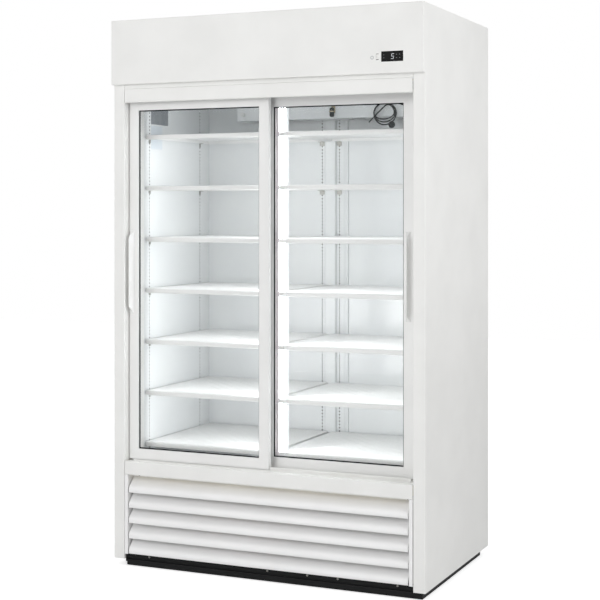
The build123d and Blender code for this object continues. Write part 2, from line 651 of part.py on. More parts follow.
def cover_knob():
    profile = Polyline((0, 0), (3, 0), (3, -3), (8.5, -3), (9, -4), (8.4, -11), (7, -12), (0, -12), close=True)
    knob = revolve(make_face(profile), Axis.Y)
    return Pos(-COVER_X + 26, y_at(COVER_FRONT_D), COVER_Z + 24) * knob


BOTTLE_X = 57.0
BOTTLE_D = COVER_FRONT_D - 16.0
BOTTLE_LOW = 1649.0
BOTTLE_LEN = 36.0
BOTTLE_R = 8.6


def probe_bottle():
    # Sealed capsule with round ends.
    half = BOTTLE_R
    outline = [Line((0, 0), (0.4 * half, 0)), ThreePointArc((0.4 * half, 0), (0.82 * half, 0.24 * half), (half, 0.8 * half)),
               Line((half, 0.8 * half), (half, BOTTLE_LEN - 0.8 * half)),
               ThreePointArc((half, BOTTLE_LEN - 0.8 * half), (0.82 * half, BOTTLE_LEN - 0.24 * half), (0.4 * half, BOTTLE_LEN)),
               Line((0.4 * half, BOTTLE_LEN), (0, BOTTLE_LEN)), Line((0, BOTTLE_LEN), (0, 0))]
    bottle = revolve(Plane.XZ * make_face(outline), Axis.Z)
    return Pos(BOTTLE_X, y_at(BOTTLE_D), BOTTLE_LOW) * bottle


def probe_bracket():
    # Strap from the cover face with a ring round the bottle's shoulder.
    z = BOTTLE_LOW + 19
    inner = BOTTLE_R + 0.05
    ring = rod_z(BOTTLE_X, BOTTLE_D, z, inner + 2, 4) - rod_z(BOTTLE_X, BOTTLE_D, z - 1, inner, 6)
    arm = block(BOTTLE_X - 6, BOTTLE_X + 6, BOTTLE_D + inner + 0.6, COVER_FRONT_D - 1.4, z, z + 4)
    plate = block(BOTTLE_X - 8, BOTTLE_X + 8, COVER_FRONT_D - 1.5, COVER_FRONT_D - 0.05, z - 4, z + 30)
    plate = fillet(plate.edges().filter_by(Axis.Y), 3)
    return ring + arm + plate


def tube(points):
    # Round lead along straight runs joined by arcs.
    pts = [Vector(*p) for p in points]
    radii = []
    for a, b, c in zip(pts, pts[1:], pts[2:]):
        turn = (b - a).get_angle(c - b)
        run = min((b - a).length, (c - b).length)
        radii.append(0.45 * run / math.tan(math.radians(turn) / 2))
    path = FilletPolyline(*pts, radius=radii)
    print("lead radii", [round(r, 1) for r in radii])
    start = Plane(pts[0], z_dir=(pts[1] - pts[0]).normalized())
    return sweep(start * Circle(LEAD_D / 2), path=path)


GLAND_D = 560.0
GLAND_Z = 1672.0
DISC_X = COIL_X + 30
DISC_Z = COIL_Z - 45


def probe_coil():
    # Three loose turns as one closed ring of their outer shape.
    ring = Rot(90, 0, 0) * Torus(COIL_R - 5, 5)
    return Pos(COIL_X, y_at(COIL_D), COIL_Z) * ring


def probe_lead():
    route = [(278, 503.6, 1698), (312, 503.6, 1697), (342, 503.6, 1687), (372, 505, 1674), (404, 514, 1662),
             (438, 528, 1656), (474, 542, 1659), (506, 556, 1667), (527.1, 560, 1672)]
    return tube([(x, y_at(d), z) for x, d, z in route])


def probe_tail():
    route = [(282, 488.45, 1692), (258, 488.45, 1670), (234, 487.95, 1647), (211, 488.45, 1625)]
    return tube([(x, y_at(d), z) for x, d, z in route])


def probe_disc():
    disc = rod_y(DISC_X, COIL_D - 8, DISC_Z, 13, 2.6)
    return fillet(disc.edges(), 0.8)


def lead_gland():
    profile = Polyline((2.6, 0), (11, 0), (11, 4), (8.5, 4), (7.5, 10), (2.6, 10), close=True)
    gland = revolve(make_face(profile), Axis.Y)
    return Pos(WALL_X, y_at(GLAND_D), GLAND_Z) * Rot(0, 0, 90) * gland


# Machine compartment
def blade_section(z):
    # Lip bottom at height z: the blade leans back to its upright edge, with a round knee and a curled lip.
    front = 1.0
    pts = [(BLADE_BACK_D, z + BLADE_PITCH + 6), (BLADE_BACK_D, z + BLADE_PITCH), (front + 0.5, z + 20), (front, z + 7),
           (front + 0.8, z + BLADE_T), (front + 6.5, z + BLADE_T)]
    path = FilletPolyline(*[(y_at(d), h) for d, h in pts], radius=[4.0, KNEE_R, 3.0, CURL_R])
    return thick(Wire(path.edges()), BLADE_T)


def louvre_grille():
    # Pressed blades welded to two channels that carry the fixing flanges, under a closing strip.
    grille = None
    blade_x = BLADE_X - BLADE_END_GAP
    for i in range(BLADE_COUNT):
        blade = run_x(blade_section(BLADE_LOW_Z + BLADE_PITCH * i), -blade_x, blade_x)
        grille = blade if grille is None else grille + blade
    top = BLADE_LOW_Z + BLADE_PITCH * BLADE_COUNT
    grille += block(-BLADE_X, BLADE_X, BLADE_BACK_D, BLADE_BACK_D + BLADE_T, top + 2, SILL_BOTTOM + 8)
    web_d = BLADE_BACK_D + BLADE_T - 0.3
    for side in (-1, 1):
        x = side * BLADE_X
        pts = [(x - side * 16, web_d), (x, web_d), (x, 0.1), (side * RAIL_X, 0.1)]
        face = plan_profile(pts if side > 0 else list(reversed(pts)), SHEET)
        grille += run_z(face, BLADE_LOW_Z + 0.1, SILL_BOTTOM - 0.3)
    return grille


SCREW_R = 4.0
TOP_SCREWS_X = (-514.0, 524.0)
TOP_SCREWS_Z = SILL_BOTTOM - 6
BASE_SCREWS_X = (-464.0, 10.0, 162.0, 276.0, 493.0)
BASE_SCREWS_Z = 36.0


def pan_head(x, d, z):
    # Pan head with a cross recess, seated on the sheet at depth d.
    head = revolve(make_face(Polyline((0, 0), (SCREW_R, 0), (SCREW_R, -1.2), (2.8, -2.4), (0, -2.6), close=True)), Axis.Y)
    head -= Pos(0, -2.6, 0) * (Box(3.6, 1.6, 0.8) + Box(0.8, 1.6, 3.6))
    return Pos(x, y_at(d - 0.05), z) * head


def grille_screws():
    screws = [pan_head(x, BLADE_BACK_D, TOP_SCREWS_Z) for x in TOP_SCREWS_X]
    screws += [pan_head(x, BASE_FRONT_D + BASE_STEP_D, BASE_SCREWS_Z) for x in BASE_SCREWS_X]
    return Compound(children=screws)


def base_frame():
    # Four rails under a deck plate. The front rail has a step along its face and stops short on the left.
    d0 = BASE_FRONT_D
    front = block(BASE_LEFT_END, BASE_X, d0, d0 + RAIL_FLANGE, BASE_LOW, BASE_HIGH)
    front -= block(BASE_LEFT_END - 1, BASE_X + 1, d0 - 1, d0 + BASE_STEP_D, BASE_STEP_Z, BASE_HIGH + 1)
    front = fillet(front.edges().filter_by(Axis.X).group_by(Axis.Y)[0], 1.5)
    side_d0 = d0 + RAIL_FLANGE + FIT
    side_d1 = BASE_BACK_D - RAIL_FLANGE - FIT
    solids = [front, block(-BASE_X, BASE_X, BASE_BACK_D - RAIL_FLANGE, BASE_BACK_D, BASE_LOW, BASE_HIGH)]
    for side in (-1, 1):
        x0 = BASE_X - RAIL_FLANGE if side > 0 else -BASE_X
        solids.append(block(x0, x0 + RAIL_FLANGE, side_d0, side_d1, BASE_LOW, BASE_HIGH))
    deck_x = SKIN_X - 0.2
    deck_d = BLADE_BACK_D + 2 * BLADE_T + FIT
    solids.append(block(-deck_x, deck_x, deck_d, BODY_D - 2.5, BASE_HIGH + 0.02, DECK_TOP))
    for i, solid in enumerate(solids[:4]):
        for x, d in foot_spots():
            solid -= rod_z(x, d, 0, 5.05, 32)
        solids[i] = solid
    return Compound(children=solids)


def foot_spots():
    x = BASE_X - FOOT_INSET
    front_d = BASE_FRONT_D + RAIL_FLANGE + FOOT_INSET
    return [(-x, front_d), (x, front_d), (-x, BASE_BACK_D - FOOT_INSET), (x, BASE_BACK_D - FOOT_INSET)]


def levelling_feet():
    feet = []
    top = BASE_LOW - 0.05
    profile = Polyline((0, 0), (19, 0), (20, 0.3 * top), (20, 0.6 * top), (9, top), (5, top), (5, 26), (4, 27), (0, 27), close=True)
    for x, d in foot_spots():
        foot = revolve(Plane.XZ * make_face(profile), Axis.Z)
        feet.append(Pos(x, y_at(d), 0) * foot)
    return Compound(children=feet)


COMPRESSOR_X = 250.0
COMPRESSOR_BACK = 235.0


def compressor():
    # Domed can on a foot plate with rubber mounts and a terminal cover.
    z0 = DECK_TOP + 0.02
    can = Cylinder(86, 176)
    can = fillet(can.faces().sort_by(Axis.Z)[-1].edges(), 46)
    can = fillet(can.faces().sort_by(Axis.Z)[0].edges(), 9)
    can = Pos(0, 0, 14 + 88) * can
    can += Pos(0, 0, 66) * Cylinder(89, 5)
    plate = Pos(0, 0, 13) * Box(210, 150, 3)
    plate = fillet(plate.edges().filter_by(Axis.Z), 14)
    can += plate
    for sx in (-1, 1):
        for sy in (-1, 1):
            can += Pos(sx * 88, sy * 58, 6.5) * Cylinder(11, 13)
    can += Pos(0, -86, 70) * fillet(Box(62, 40, 66).edges().filter_by(Axis.Y), 6)
    return Pos(COMPRESSOR_X, y_at(BODY_D - COMPRESSOR_BACK), z0) * can


def condenser_coil():
    # Fin pack with deep grooves and a row of return bends at each end.
    z0 = DECK_TOP + 4.5
    pack = block(-300, 120, 70, 118, z0, z0 + 230)
    grooves = [block(-292 + 26 * i, -289 + 26 * i, 66, 76, z0 + 4, z0 + 226) for i in range(16)]
    pack -= grooves
    feet = block(-300, 120, 74, 114, DECK_TOP + 0.02, z0 + 1)
    pack += feet
    for i in range(4):
        z = z0 + 34 + 52 * i
        for x in (-300, 120):
            pack += Pos(x, y_at(94), z) * Rot(90, 0, 0) * Torus(12, 4.5)
    return pack


SHROUD_D = 150.0
FAN_CX = -90.0
FAN_CZ = 176.0
COND_FAN_R = 96.0


def condenser_shroud():
    # Sheet plate with a rolled ring for the fan and a motor on a cross bracket behind it.
    plate = block(-300, 120, SHROUD_D - 30, SHROUD_D, DECK_TOP + 0.02, BASE_HIGH + 240)
    plate -= block(-297, 117, SHROUD_D - 31, SHROUD_D - 2, DECK_TOP + 3.1, BASE_HIGH + 237)
    ring = rod_y(FAN_CX, SHROUD_D - 1, FAN_CZ, COND_FAN_R + 6, 24)
    bore = rod_y(FAN_CX, SHROUD_D - 10, FAN_CZ, COND_FAN_R + 4, 60)
    shroud = plate + ring - bore
    motor = rod_y(FAN_CX, SHROUD_D + 40, FAN_CZ, 32, 60) + rod_y(FAN_CX, SHROUD_D + 15, FAN_CZ, 4, 30)
    for angle in (45, 135):
        bar = Pos(FAN_CX, y_at(SHROUD_D + 43), FAN_CZ) * Rot(0, angle, 0) * Box(2 * COND_FAN_R + 19, 3, 14)
        motor += bar
    for angle in (45, 135, 225, 315):
        a = math.radians(angle)
        x = FAN_CX + (COND_FAN_R + 8.0) * math.cos(a)
        z = FAN_CZ + (COND_FAN_R + 8.0) * math.sin(a)
        motor += rod_y(x, SHROUD_D - 1, z, 3.5, 47)
    return shroud + motor


def condenser_fan():
    wheel = fan(FAN_CX, SHROUD_D + 12, FAN_CZ, COND_FAN_R, 24, 26, 5, True)
    return wheel - rod_y(FAN_CX, SHROUD_D - 10, FAN_CZ, 4 + AXLE_FIT, 60)


NODES = {
    "base_frame": base_frame,
    "levelling_feet": levelling_feet,
    "left_side_panel": lambda: side_panel(-1),
    "right_side_panel": lambda: side_panel(1),
    "top_panel": top_panel,
    "back_panel": back_panel,
    "insulation_core": insulation_core,
    "inner_liner": inner_liner,
    "left_jamb": lambda: jamb(-1),
    "right_jamb": lambda: jamb(1),
    "upper_front_rail": upper_front_rail,
    "track_cover": track_cover,
    "sill_rail": sill_rail,
    "header_panel": header_panel,
    "display_lens": display_lens,
    "controller_body": controller_body,
    "light_switch": light_switch,
    "switch_housing": switch_housing,
    "top_track": top_track,
    "bottom_track": bottom_track,
    "left_door_frame": lambda: door_frame(FRONT_DOOR_X0, DOOR_W, FRONT_DOOR_D),
    "left_door_glass": lambda: door_glass(FRONT_DOOR_X0, DOOR_W, FRONT_DOOR_D),
    "left_door_gasket": lambda: door_gasket(FRONT_DOOR_X0, DOOR_W, FRONT_DOOR_D),
    "left_door_handle": lambda: door_handle(FRONT_DOOR_X0 + 1.0, 1, FRONT_DOOR_D),
    "left_door_hangers": lambda: hangers(FRONT_DOOR_X0, DOOR_W, FRONT_DOOR_D),
    "left_door_roller_outer": lambda: roller(roller_spots(FRONT_DOOR_X0, DOOR_W)[0], FRONT_DOOR_D),
    "left_door_roller_inner": lambda: roller(roller_spots(FRONT_DOOR_X0, DOOR_W)[1], FRONT_DOOR_D),
    "right_door_frame": lambda: door_frame(REAR_DOOR_X0, DOOR_W, REAR_DOOR_D),
    "right_door_glass": lambda: door_glass(REAR_DOOR_X0, DOOR_W, REAR_DOOR_D),
    "right_door_gasket": lambda: door_gasket(REAR_DOOR_X0, DOOR_W, REAR_DOOR_D),
    "right_door_handle": lambda: door_handle(REAR_DOOR_X0 + DOOR_W - 10.3, -1, REAR_DOOR_D),
    "right_door_hangers": lambda: hangers(REAR_DOOR_X0, DOOR_W, REAR_DOOR_D),
    "right_door_roller_inner": lambda: roller(roller_spots(REAR_DOOR_X0, DOOR_W)[0], REAR_DOOR_D),
    "right_door_roller_outer": lambda: roller(roller_spots(REAR_DOOR_X0, DOOR_W)[1], REAR_DOOR_D),
    "right_door_seal": right_door_seal,
    "front_centre_post": centre_post,
    "rear_centre_column": rear_column,
    "led_strip": led_strip,
    "left_bay_shelves": lambda: bay_shelves(-1),
    "right_bay_shelves": lambda: bay_shelves(1),
    "shelf_clips": shelf_clips,
    "evaporator_cover": evaporator_cover,
    "evaporator_coil": evaporator_coil,
    "evaporator_fan_motors": evaporator_fan_motors,
    "evaporator_fan_left": lambda: evaporator_fan(-FAN_X),
    "evaporator_fan_right": lambda: evaporator_fan(FAN_X),
    "cover_knob": cover_knob,
    "probe_bottle": probe_bottle,
    "probe_bracket": probe_bracket,
    "probe_coil": probe_coil,
    "probe_lead": probe_lead,
    "probe_tail": probe_tail,
    "probe_disc": probe_disc,
    "lead_gland": lead_gland,
    "compressor": compressor,
    "condenser_coil": condenser_coil,
    "condenser_shroud": condenser_shroud,
    "condenser_fan": condenser_fan,
    "louvre_grille": louvre_grille,
    "grille_screws": grille_screws,
}

os.makedirs("parts", exist_ok=True)
for name, make in NODES.items():
    export_step(make(), f"parts/{name}.step")
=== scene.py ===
import math

import bmesh
import bpy
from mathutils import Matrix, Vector


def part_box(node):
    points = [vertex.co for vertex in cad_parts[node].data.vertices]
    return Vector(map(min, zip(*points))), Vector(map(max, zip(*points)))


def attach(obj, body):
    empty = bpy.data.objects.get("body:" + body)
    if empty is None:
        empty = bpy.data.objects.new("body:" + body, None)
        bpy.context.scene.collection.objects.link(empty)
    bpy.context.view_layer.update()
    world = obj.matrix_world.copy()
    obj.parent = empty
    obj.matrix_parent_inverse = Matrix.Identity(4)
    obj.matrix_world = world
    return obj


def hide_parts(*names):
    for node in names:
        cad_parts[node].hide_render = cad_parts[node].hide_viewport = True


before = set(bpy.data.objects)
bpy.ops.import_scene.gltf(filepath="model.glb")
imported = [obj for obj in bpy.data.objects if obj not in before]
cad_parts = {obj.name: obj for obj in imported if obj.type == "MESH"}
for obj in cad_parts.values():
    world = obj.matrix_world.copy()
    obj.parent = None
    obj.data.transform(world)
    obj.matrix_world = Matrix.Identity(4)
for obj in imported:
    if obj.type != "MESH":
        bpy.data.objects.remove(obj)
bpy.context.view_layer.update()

# Camera
# It stands where the photograph was taken: level, a little above half the cabinet's height,
# to the right of the front and turned back towards it.
camera_data = bpy.data.cameras.new("camera")
camera_data.sensor_width = 36
camera_data.lens = 83.59
camera_data.shift_y = -0.1476
camera = bpy.data.objects.new("camera", camera_data)
camera.location = (2.0921, -4.7386, 1.2912)
camera.rotation_euler = (math.radians(90), 0, math.radians(23.982))
bpy.context.scene.collection.objects.link(camera)
bpy.context.scene.camera = camera
bpy.context.scene.view_settings.view_transform = "Standard"


# Probe cable
# Thin black cable of the temperature probe, a soft jacket over twisted wires. It leaves a gland in the right
# wall, hangs its spare length over a hook in just under three loose turns, and its end hangs free.
front_y = -0.3615
lead_diameter = 0.005
coil_centre = Vector((0.270, front_y + 0.496, 1.659))


def at(x, depth, z):
    return Vector((x / 1000, front_y + depth / 1000, z / 1000))


def nurbs_cord(name, points, diameter):
    data = bpy.data.curves.new(name, "CURVE")
    data.dimensions = "3D"
    data.bevel_depth = diameter / 2
    data.bevel_resolution = 3
    data.resolution_u = 6
    data.use_fill_caps = True
    spline = data.splines.new("NURBS")
    spline.points.add(len(points) - 1)
    for target, p in zip(spline.points, points):
        target.co = (*p, 1)
    spline.order_u = 3
    spline.use_endpoint_u = True
    cord = bpy.data.objects.new(name, data)
    bpy.context.scene.collection.objects.link(cord)
    return cord


lead_route = [at(527.1, 560, 1672), at(506, 556, 1667), at(474, 542, 1659),
              at(438, 528, 1656), at(404, 514, 1662), at(372, 505, 1674),
              at(342, 503.6, 1687), at(312, 503.6, 1697), at(278, 503.6, 1698)]
tail_route = [at(282, 488.2, 1692), at(258, 486.5, 1670), at(234, 485.6, 1647), at(211, 486.4, 1625)]
loop_start = math.radians(78)
loop_sweep = math.radians(1040)
steps_per_turn = 16
loop_steps = round(loop_sweep / math.tau * steps_per_turn)
loop_half_depth = 0.0076
loop_half_width = 0.0465
loop_narrowing = 0.002
loop_rise = 0.0385
loop_sag = 0.0505
sag_lost_per_turn = 0.0105
loop_route = []
for i in range(1, loop_steps + 1):
    angle = loop_start + loop_sweep * i / loop_steps
    wound = loop_sweep / math.tau * i / loop_steps
    across = (loop_half_width - loop_narrowing * wound) * math.cos(angle)
    depth = loop_half_depth - 2 * loop_half_depth * i / loop_steps
    rise = loop_rise if math.sin(angle) > 0 else loop_sag - sag_lost_per_turn * wound
    loop_route.append(coil_centre + Vector((across, depth, rise * math.sin(angle))))
cord_route = lead_route + loop_route + tail_route


# One helper puts a shader node in a tree with its settings and links.
def node(tree, kind, settings=None, links=None, inputs=None):
    made = tree.nodes.new(kind)
    for key, value in (settings or {}).items():
        setattr(made, key, value)
    for key, value in (inputs or {}).items():
        made.inputs[key].default_value = value
    for key, source in (links or {}).items():
        tree.links.new(source, made.inputs[key])
    return made


def linear(hex_colour):
    parts = [int(hex_colour[i:i + 2], 16) / 255 for i in (1, 3, 5)]
    return (*[c / 12.92 if c <= 0.04045 else ((c + 0.055) / 1.055) ** 2.4 for c in parts], 1.0)


def finish_material(name, base, roughness, other, variation=0.03, patch_mm=180, grain_mm=1.2,
                    relief_mm=0.02, metallic=0.0, specular=0.5):
    # A base colour that drifts a little over the surface, and a fine relief at the finish's own scale.
    material = bpy.data.materials.new(name)
    material.use_nodes = True
    tree = material.node_tree
    shader = tree.nodes["Principled BSDF"]
    place = node(tree, "ShaderNodeTexCoord").outputs["Object"]
    drift = node(tree, "ShaderNodeTexNoise", links={"Vector": place},
                 inputs={"Scale": 1000 / patch_mm, "Detail": 3.0, "Roughness": 0.55})
    colours = node(tree, "ShaderNodeMix", {"data_type": "RGBA"},
                   inputs={"A": linear(base), "B": linear(other)})
    fade = node(tree, "ShaderNodeMapRange", links={"Value": drift.outputs["Fac"]},
                inputs={"From Min": 0.35, "From Max": 0.65, "To Min": 0.0, "To Max": 1.0})
    tree.links.new(fade.outputs["Result"], colours.inputs["Factor"])
    tree.links.new(colours.outputs["Result"], shader.inputs["Base Color"])
    rough = node(tree, "ShaderNodeMapRange", links={"Value": drift.outputs["Fac"]},
                 inputs={"From Min": 0.3, "From Max": 0.7, "To Min": roughness - variation,
                         "To Max": roughness + variation})
    tree.links.new(rough.outputs["Result"], shader.inputs["Roughness"])
    grain = node(tree, "ShaderNodeTexNoise", links={"Vector": place},
                 inputs={"Scale": 1000 / grain_mm, "Detail": 2.0})
    bump = node(tree, "ShaderNodeBump", links={"Height": grain.outputs["Fac"]},
                inputs={"Strength": 0.25, "Distance": relief_mm / 1000})
    tree.links.new(bump.outputs["Normal"], shader.inputs["Normal"])
    shader.inputs["Metallic"].default_value = metallic
    shader.inputs["Specular IOR Level"].default_value = specular
    return material


# Cable jacket: soft black, faintly matt.
cable_jacket = finish_material("soft_black_cable_jacket", "#060607", 0.6, "#0A0A0B", grain_mm=0.8,
                               specular=0.1)


def paint(obj, material):
    obj.data.materials.clear()
    obj.data.materials.append(material)


cable = nurbs_cord("probe_cable", cord_route, lead_diameter)
paint(cable, cable_jacket)
bare_line = cable.data.copy()
bare_line.bevel_depth = 0
line_holder = bpy.data.objects.new("cable_line", bare_line)
line_points = [v.co.copy() for v in bpy.data.meshes.new_from_object(line_holder).vertices]
bpy.data.objects.remove(line_holder)
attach(cable, "cabinet")
for cad_node in ("probe_lead", "probe_coil", "probe_tail"):
    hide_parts(cad_node)


# Painted sheet steel of the cabinet
# Side panels, roof, header, rails and fascia are folded steel sheet with a satin white powder coat,
# which has a fine orange peel and reads as a soft, even white.
def dress(material, *names):
    for name in names:
        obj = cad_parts[name]
        if not obj.material_slots:
            obj.data.materials.append(material)
        for slot in obj.material_slots:
            slot.link = "OBJECT"
            slot.material = material


powder_white = finish_material("satin_white_powder_coat", "#F3F3F1", 0.42, "#EFEFED")
dress(powder_white, "left_side_panel", "right_side_panel", "top_panel", "header_panel",
      "upper_front_rail", "track_cover", "sill_rail")

# Lining, shelf posts and evaporator cover
# Gloss white enamel on steel sheet inside the cabinet, smooth enough to mirror the light strip.
gloss_enamel = finish_material("gloss_white_enamel", "#F2F4F4", 0.16, "#EEF0F1", variation=0.02,
                               relief_mm=0.006, grain_mm=2.5)
dress(gloss_enamel, "inner_liner", "front_centre_post", "rear_centre_column", "evaporator_cover")

# Jambs, bottom track, knob and switch
# Extruded and moulded white plastic, smooth and a little warmer than the paint.
moulded_white = finish_material("smooth_white_moulding", "#F0F0EE", 0.32, "#ECECE9", relief_mm=0.008)
dress(moulded_white, "left_jamb", "right_jamb", "bottom_track", "cover_knob", "light_switch")

# Door frames and pulls
# Extruded aluminium with a satin white coat, mitred at the corners.
door_coat = finish_material("white_coated_extrusion", "#F0F0EF", 0.38, "#ECECEB", relief_mm=0.01)
dress(door_coat, "left_door_frame", "right_door_frame", "left_door_handle", "right_door_handle")

# Grille
# Pressed steel louvres, powder coated like the cabinet. Their white is set lighter than the cabinet's paint:
# painted light for the light that falls on the up-tilted blades.
grille_coat_painted_light = finish_material("satin_grille_coat_painted_light", "#F8F8F8", 0.4, "#F5F5F5")
dress(grille_coat_painted_light, "louvre_grille")

# Rubber, black plastic and black steel
# Extruded gaskets and the door seal, the control's housing, the fans, and the enamelled base and compressor.
black_rubber = finish_material("extruded_black_rubber", "#0C0D0E", 0.6, "#101112", grain_mm=0.6,
                               specular=0.15)
black_moulding = finish_material("black_moulded_plastic", "#060607", 0.55, "#0A0A0B", grain_mm=0.9,
                                 specular=0.1)
black_enamel = finish_material("black_stoved_enamel", "#0D0E0F", 0.45, "#121314", specular=0.2)
dress(black_rubber, "left_door_gasket", "right_door_gasket", "right_door_seal")
dress(black_moulding, "controller_body", "switch_housing", "lead_gland", "probe_bottle", "probe_disc",
      "condenser_fan", "evaporator_fan_left", "evaporator_fan_right")
dress(black_enamel, "base_frame", "compressor")

# Bare metals
# Galvanised sheet, zinc plated clips and screws, mill finish aluminium track, copper coils.
galvanised = finish_material("galvanised_sheet", "#A2A7A9", 0.38, "#8F9496", metallic=0.9, patch_mm=14,
                             grain_mm=2.0)
zinc = finish_material("zinc_plate", "#A9A8A2", 0.3, "#95948F", metallic=1.0, patch_mm=6, grain_mm=0.7)
mill_aluminium = finish_material("mill_finish_aluminium", "#B8BABB", 0.35, "#ADAFB0", metallic=1.0,
                                 patch_mm=40)
copper_fins = finish_material("copper_tube_and_fins", "#B06E48", 0.4, "#9A5F40", metallic=0.9, patch_mm=9)
dress(galvanised, "back_panel", "evaporator_fan_motors", "condenser_shroud")
dress(zinc, "shelf_clips", "grille_screws", "left_door_hangers", "right_door_hangers", "levelling_feet")
dress(mill_aluminium, "top_track")
dress(copper_fins, "evaporator_coil", "condenser_coil")

# Nylon rollers, foam and the tan clip of the probe bottle
# Turned natural nylon, cut polyurethane foam with visible cells, and a moulded clip.
nylon = finish_material("natural_nylon", "#D8D4C8", 0.45, "#CFCBBE")
foam = finish_material("polyurethane_foam", "#E2D3A2", 0.85, "#D3C28C", grain_mm=1.5, relief_mm=0.3)
tan_clip = finish_material("tan_moulded_plastic", "#B7A88B", 0.5, "#AB9C80")
dress(nylon, "left_door_roller_outer", "left_door_roller_inner", "right_door_roller_outer",
      "right_door_roller_inner")
dress(foam, "insulation_core")
dress(tan_clip, "probe_bracket")

# Door panes
# Clear float glass. It is nearly invisible from the front and keeps a faint sheen.
pane_glass = finish_material("clear_float_glass", "#D4DCDC", 0.03, "#CDD6D6", variation=0.01, relief_mm=0.001)
pane_glass.node_tree.nodes["Principled BSDF"].inputs["Alpha"].default_value = 0.045
dress(pane_glass, "left_door_glass", "right_door_glass")

# Display window
# Tinted acrylic over a numeric display, dark when nothing behind it is lit.
smoked_window = finish_material("smoked_acrylic_window", "#060607", 0.12, "#0A0A0B", variation=0.01,
                                relief_mm=0.002,
                                specular=0.06)
dress(smoked_window, "display_lens")

# Light strip
# White extrusion with a row of small lamps on its rear side, towards the back wall.
strip_body = finish_material("light_strip_extrusion", "#F6EFF1", 0.3, "#F2EBEE")
dress(strip_body, "led_strip")


def glow(name, hex_colour, strength):
    material = bpy.data.materials.new(name)
    material.use_nodes = True
    shader = material.node_tree.nodes["Principled BSDF"]
    shader.inputs["Base Color"].default_value = linear(hex_colour)
    shader.inputs["Emission Color"].default_value = linear(hex_colour)
    shader.inputs["Emission Strength"].default_value = strength
    shader.inputs["Roughness"].default_value = 0.3
    return material


# Rows of holes and lamps
# The shelf holes are punched 12.7 mm apart in the posts and in the side walls; each is a small dark
# round disc. The lamps on the light strip are a row of the same kind.
disc_sides = 10


def dotted_column(name, start, count, pitch, radius, facing, material):
    tree = bpy.data.node_groups.new(name + "_row", "GeometryNodeTree")
    tree.interface.new_socket("Geometry", in_out="OUTPUT", socket_type="NodeSocketGeometry")
    for label, kind in (("Count", "NodeSocketInt"), ("Pitch", "NodeSocketFloat"),
                        ("Radius", "NodeSocketFloat"), ("Start", "NodeSocketVector"),
                        ("Turn", "NodeSocketVector")):
        tree.interface.new_socket(label, in_out="INPUT", socket_type=kind)
    given = node(tree, "NodeGroupInput").outputs
    step = node(tree, "ShaderNodeCombineXYZ", links={"Z": given["Pitch"]})
    row = node(tree, "GeometryNodeMeshLine", links={"Count": given["Count"], "Start Location": given["Start"],
                                                    "Offset": step.outputs["Vector"]})
    disc = node(tree, "GeometryNodeMeshCircle", {"fill_type": "NGON"}, links={"Radius": given["Radius"]},
                inputs={"Vertices": disc_sides})
    spread = node(tree, "GeometryNodeInstanceOnPoints",
                  links={"Points": row.outputs["Mesh"], "Instance": disc.outputs["Mesh"],
                         "Rotation": given["Turn"]})
    real = node(tree, "GeometryNodeRealizeInstances", links={"Geometry": spread.outputs["Instances"]})
    painted = node(tree, "GeometryNodeSetMaterial", links={"Geometry": real.outputs["Geometry"]},
                   inputs={"Material": material})
    node(tree, "NodeGroupOutput", links={"Geometry": painted.outputs["Geometry"]})
    sizes = {"Count": count, "Pitch": pitch, "Radius": radius, "Start": start, "Turn": facing}
    return grown(name, tree, sizes)


def grown(name, tree, sizes):
    # Runs a tree on an empty mesh and keeps the result as a plain mesh.
    seed_mesh = bpy.data.meshes.new(name + "_seed")
    holder = bpy.data.objects.new(name + "_seed", seed_mesh)
    bpy.context.scene.collection.objects.link(holder)
    modifier = holder.modifiers.new("grow", "NODES")
    modifier.node_group = tree
    for socket in tree.interface.items_tree:
        if socket.in_out == "INPUT" and socket.name in sizes:
            modifier[socket.identifier] = sizes[socket.name]
    bpy.context.view_layer.update()
    seen = holder.evaluated_get(bpy.context.evaluated_depsgraph_get())
    mesh = bpy.data.meshes.new_from_object(seen)
    bpy.data.objects.remove(holder)
    bpy.data.meshes.remove(seed_mesh)
    mesh.name = name
    result = bpy.data.objects.new(name, mesh)
    bpy.context.scene.collection.objects.link(result)
    return result


hole_dark = finish_material("punched_hole_shadow", "#383129", 0.7, "#2C2620", specular=0.1)
hole_pitch = 0.0127
hole_radius = 0.0028
proud = 0.00012
first_hole = 0.4137
hole_count = 101
quarter = math.radians(90)
face_front = (quarter, 0, 0)
face_right = (0, quarter, 0)
face_left = (0, -quarter, 0)
wall_x = 0.537
hole_columns = [
    ("left_wall_front_holes", (-wall_x + proud, front_y + 0.150, first_hole), face_right),
    ("left_wall_rear_holes", (-wall_x + proud, front_y + 0.548, first_hole), face_right),
    ("right_wall_front_holes", (wall_x - proud, front_y + 0.150, first_hole), face_left),
    ("right_wall_rear_holes", (wall_x - proud, front_y + 0.548, first_hole), face_left),
    ("post_left_holes", (-0.024 - proud, front_y + 0.161, first_hole), face_left),
    ("post_right_holes", (0.0145, front_y + 0.150 - proud, first_hole), face_front),
    ("column_left_holes", (-0.0384, front_y + 0.6266 - proud, first_hole), face_front),
    ("column_right_holes", (0.0342, front_y + 0.6266 - proud, first_hole), face_front),
]
for name, start, turn in hole_columns:
    column = dotted_column(name, start, hole_count, hole_pitch, hole_radius, turn, hole_dark)
    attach(column, "cabinet")

lamp_glow = glow("lamp_phosphor", "#F6FAFF", 6.0)
strip_back = front_y + 0.1094
lamp_count = 28
lamp_pitch = 0.040
lamp_radius = 0.003
face_back = (-quarter, 0, 0)
lamps = dotted_column("strip_lamps", (0.0105, strip_back + proud, 0.470), lamp_count, lamp_pitch,
                      lamp_radius, face_back, lamp_glow)
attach(lamps, "cabinet")


